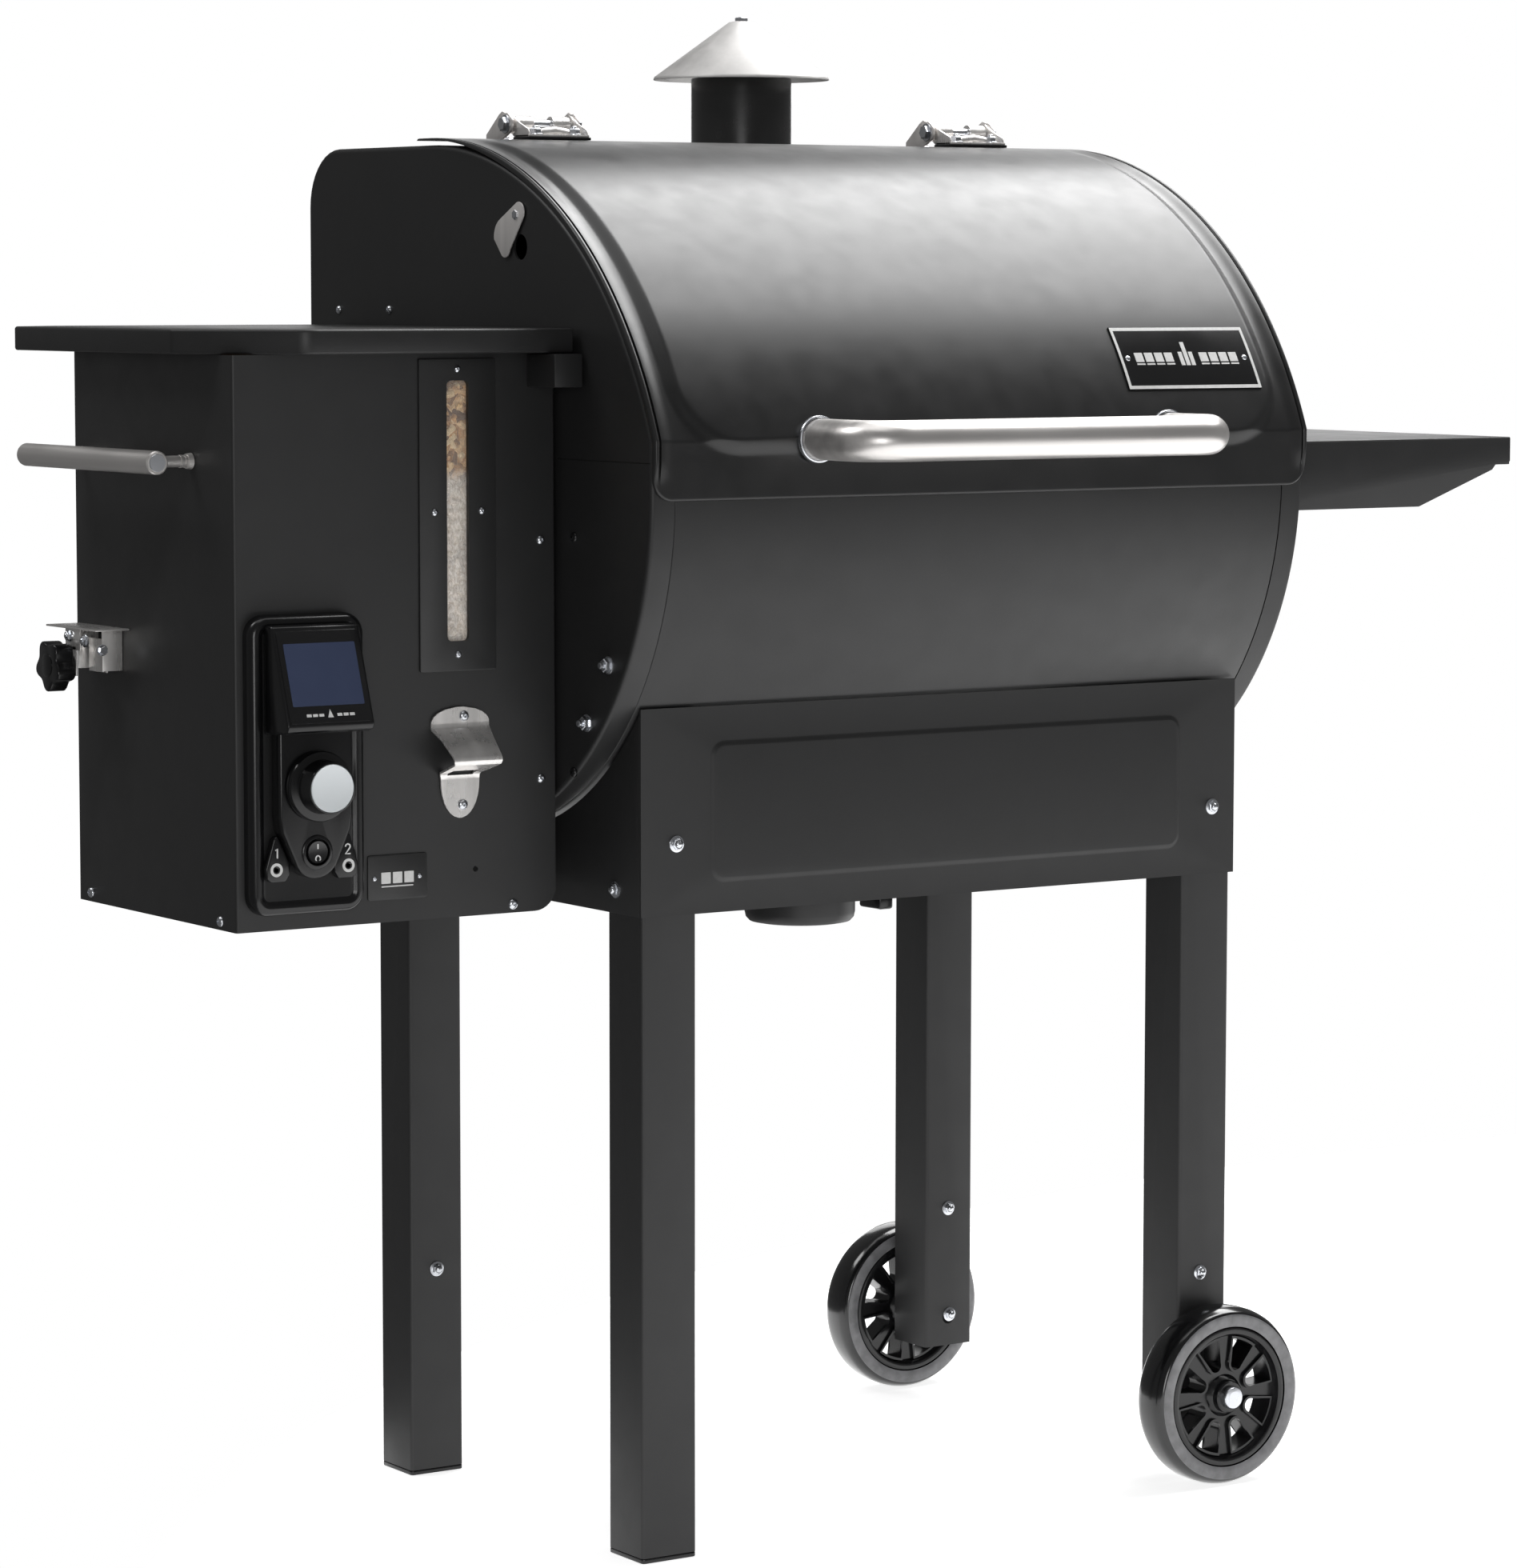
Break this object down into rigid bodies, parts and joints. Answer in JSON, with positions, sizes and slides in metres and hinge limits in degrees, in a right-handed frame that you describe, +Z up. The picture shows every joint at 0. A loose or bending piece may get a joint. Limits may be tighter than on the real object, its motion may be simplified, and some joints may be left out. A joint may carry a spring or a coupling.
{
  "type": "pellet smoker grill",
  "caption": "Barrel-shaped pellet smoker grill on square legs, with a side pellet hopper and controller, a hinged lid, a rear chimney, a side shelf and transport wheels.",
  "frame": {"origin": "middle of the whole grill's footprint, on the ground", "axes": "+X towards the side shelf, -Y towards the cook at the front, +Z up"},
  "size_m": [1.301, 0.7947, 1.2787],
  "materials": {
    "powder_coat": "fine-textured satin black powder coat",
    "lid_enamel": "satin black baked enamel with a soft sheen",
    "flue_paint": "smooth black heat-proof paint",
    "stainless": "brushed stainless steel",
    "zinc_plate": "bright zinc plating",
    "black_plastic": "moulded satin black plastic",
    "raw_steel": "bare mill-finish steel",
    "tread": "grey moulded tread",
    "porcelain": "black porcelain enamel",
    "lcd": "blue-grey display behind glass",
    "window": "clear flat pane",
    "printed_plate": "gloss black plate with a pale border line"
  },
  "bodies": {
    "grill": {"apron_front": "powder_coat", "apron_left": "powder_coat", "apron_rear": "powder_coat", "apron_right": "powder_coat", "auger_motor": "zinc_plate", "auger_tube": "zinc_plate", "axle_front": "zinc_plate", "axle_rear": "zinc_plate", "barrel_shell": "powder_coat", "bottle_opener": "stainless", "chimney_pipe": "flue_paint", "cleanout_chute": "stainless", "controller_housing": "black_plastic", "cooking_grate": "porcelain", "display_screen": "lcd", "end_panel_left": "powder_coat", "end_panel_right": "powder_coat", "fan_housing": "black_plastic", "fire_pot": "raw_steel", "foot_front_left": "black_plastic", "foot_rear_left": "black_plastic", "grease_tray": "raw_steel", "heat_deflector": "raw_steel", "hinge_bracket_left": "stainless", "hinge_bracket_right": "stainless", "hopper_bin": "raw_steel", "hopper_body": "powder_coat", "hopper_bracket": "powder_coat", "hopper_handle": "stainless", "hopper_hinge": "zinc_plate", "igniter": "zinc_plate", "leg_front_left": "powder_coat", "leg_front_right": "powder_coat", "leg_rear_left": "powder_coat", "leg_rear_right": "powder_coat", "rear_panel": "powder_coat", "side_shelf": "powder_coat", "temperature_sensor": "stainless", "window_pane": "window", "window_plate": "powder_coat"},
    "lid": {"grill_lid": "lid_enamel", "lid_handle": "stainless", "nameplate": "printed_plate", "hinge_leaf_left": "stainless", "hinge_leaf_right": "stainless"},
    "hopper_cover": {"hopper_lid": "powder_coat"},
    "flap": {"probe_flap": "stainless"},
    "cap": {"chimney_cap": "stainless"},
    "wheel_front": {"tyre_front": "tread", "hub_front": "black_plastic"},
    "wheel_rear": {"tyre_rear": "tread", "hub_rear": "black_plastic"},
    "push_shaft": {"control_shaft": "zinc_plate"},
    "dial": {"control_knob": "black_plastic"},
    "rocker": {"power_switch": "black_plastic"},
    "star_knob": {"cleanout_knob": "black_plastic"},
    "cup": {"ash_cup": "powder_coat"},
    "gate": {"ash_gate": "zinc_plate"},
    "feed_screw": {"auger": "raw_steel"},
    "fan": {"combustion_fan": "black_plastic"}
  },
  "joints": [
    {"name": "lid_hinge", "type": "hinge", "parent": "grill", "child": "lid", "pos_m": [0.0224, 0.07115, 1.168], "axis": [-1, 0, 0], "range_deg": [0, 92]},
    {"name": "hopper_lid_hinge", "type": "hinge", "parent": "grill", "child": "hopper_cover", "pos_m": [-0.4686, 0.12815, 0.972], "axis": [-1, 0, 0], "range_deg": [0, 80]},
    {"name": "probe_flap_pivot", "type": "hinge", "parent": "grill", "child": "flap", "pos_m": [-0.3074, -0.09555, 1.0896], "axis": [1, 0, 0], "range_deg": [-50, 40]},
    {"name": "chimney_cap_height", "type": "slide", "parent": "grill", "child": "cap", "axis": [0, 0, 1], "range_m": [-0.018, 0]},
    {"name": "wheel_front_spin", "type": "hinge", "parent": "grill", "child": "wheel_front", "pos_m": [0.2959, -0.2621, 0.0775], "axis": [0, 1, 0], "continuous": true},
    {"name": "wheel_rear_spin", "type": "hinge", "parent": "grill", "child": "wheel_rear", "pos_m": [0.2959, 0.2144, 0.0775], "axis": [0, 1, 0], "continuous": true},
    {"name": "dial_press", "type": "slide", "parent": "grill", "child": "push_shaft", "axis": [0, 1, 0], "range_m": [0, 0.0015], "stiffness_N_per_m": 1200, "springref_m": -0.0015},
    {"name": "dial_turn", "type": "hinge", "parent": "push_shaft", "child": "dial", "pos_m": [-0.5411, -0.18265, 0.644], "axis": [0, -1, 0], "continuous": true},
    {"name": "power_rocker", "type": "hinge", "parent": "grill", "child": "rocker", "pos_m": [-0.5411, -0.17465, 0.592], "axis": [1, 0, 0], "range_deg": [-7, 7]},
    {"name": "cleanout_knob_turn", "type": "hinge", "parent": "grill", "child": "star_knob", "pos_m": [-0.6286, 0.07015, 0.727], "axis": [-1, 0, 0], "continuous": true},
    {"name": "ash_cup_drop", "type": "slide", "parent": "grill", "child": "cup", "axis": [0, 0, -1], "range_m": [0, 0.1]},
    {"name": "ash_gate_pull", "type": "slide", "parent": "grill", "child": "gate", "axis": [1, 0, 0], "range_m": [0, 0.06]},
    {"name": "auger_turn", "type": "hinge", "parent": "grill", "child": "feed_screw", "pos_m": [-0.5606, -0.02385, 0.632], "axis": [1, 0, 0], "continuous": true},
    {"name": "fan_spin", "type": "hinge", "parent": "grill", "child": "fan", "pos_m": [-0.4076, 0.05115, 0.59], "axis": [0, 1, 0], "continuous": true}
  ]
}
